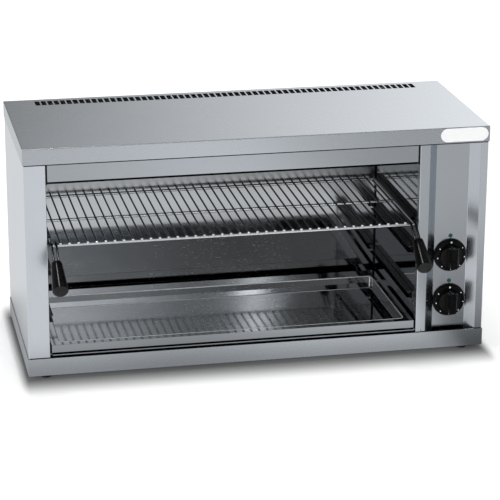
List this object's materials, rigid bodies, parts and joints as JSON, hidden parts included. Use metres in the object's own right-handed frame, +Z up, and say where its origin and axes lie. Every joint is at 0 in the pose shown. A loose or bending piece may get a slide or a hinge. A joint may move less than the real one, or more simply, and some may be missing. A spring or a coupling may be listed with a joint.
{
  "type": "countertop salamander grill",
  "caption": "Countertop cheese melter: an open stainless grill case with a sliding wire rack on rails, a pull-out drip tray, radiant elements and rotary heat controls.",
  "frame": {"origin": "centre of the whole outline's footprint, on the surface the feet stand on", "axes": "+X to the right seen from the front, +Y to the back, +Z up"},
  "size_m": [0.8, 0.4274, 0.408],
  "materials": {
    "brushed_casing": "fine brushed grain, satin",
    "plain_rear_sheet": "plain satin sheet",
    "polished_liner": "semi-polished, reflecting",
    "satin_rail": "satin folded sheet",
    "polished_tray": "polished, lightly scratched",
    "zinc_screw": "bright plated",
    "element_sheath": "heat-darkened metal sheath",
    "ceramic": "unglazed ceramic",
    "insulating_plastic": "matt moulded",
    "gland_plastic": "matt black moulded",
    "foot_rubber": "matt black",
    "chromed_wire": "bright chrome",
    "grip_phenolic": "glossy black",
    "knob_phenolic": "glossy black with white marks",
    "shaft_steel": "turned"
  },
  "bodies": {
    "cabinet": {"top_cover": "brushed_casing", "base_pan": "brushed_casing", "left_side": "brushed_casing", "right_side": "brushed_casing", "control_panel": "brushed_casing", "rear_panel": "plain_rear_sheet", "rear_screws": "zinc_screw", "hood_front": "brushed_casing", "ceiling_liner": "polished_liner", "left_liner": "polished_liner", "right_liner": "polished_liner", "rear_liner": "polished_liner", "cavity_floor": "polished_liner", "left_rail_upper": "satin_rail", "left_rail_middle": "satin_rail", "left_rail_lower": "satin_rail", "right_rail_upper": "satin_rail", "right_rail_middle": "satin_rail", "right_rail_lower": "satin_rail", "left_tray_runner": "satin_rail", "right_tray_runner": "satin_rail", "front_element": "element_sheath", "rear_element": "element_sheath", "left_element_hanger": "satin_rail", "right_element_hanger": "satin_rail", "element_bushings": "ceramic", "upper_regulator": "insulating_plastic", "lower_regulator": "insulating_plastic", "regulator_screws": "zinc_screw", "cable_gland": "gland_plastic", "gland_locknut": "gland_plastic", "terminal_block": "insulating_plastic", "front_left_foot": "foot_rubber", "front_right_foot": "foot_rubber", "rear_left_foot": "foot_rubber", "rear_right_foot": "foot_rubber", "foot_screws": "zinc_screw"},
    "rack": {"wire_rack": "chromed_wire", "left_handle_wire": "chromed_wire", "right_handle_wire": "chromed_wire", "left_grip": "grip_phenolic", "right_grip": "grip_phenolic"},
    "tray": {"drip_tray": "polished_tray"},
    "upper_control": {"upper_knob": "knob_phenolic", "upper_shaft": "shaft_steel"},
    "lower_control": {"lower_knob": "knob_phenolic", "lower_shaft": "shaft_steel"}
  },
  "joints": [
    {"name": "rack_slide", "type": "slide", "parent": "cabinet", "child": "rack", "axis": [0, -1, 0], "range_m": [0, 0.24]},
    {"name": "tray_slide", "type": "slide", "parent": "cabinet", "child": "tray", "axis": [0, -1, 0], "range_m": [0, 0.24]},
    {"name": "upper_control_turn", "type": "hinge", "parent": "cabinet", "child": "upper_control", "pos_m": [0.34075, -0.10683, 0.1743], "axis": [0, 1, 0], "range_deg": [0, 304]},
    {"name": "lower_control_turn", "type": "hinge", "parent": "cabinet", "child": "lower_control", "pos_m": [0.34075, -0.10683, 0.0917], "axis": [0, 1, 0], "range_deg": [0, 304]}
  ]
}
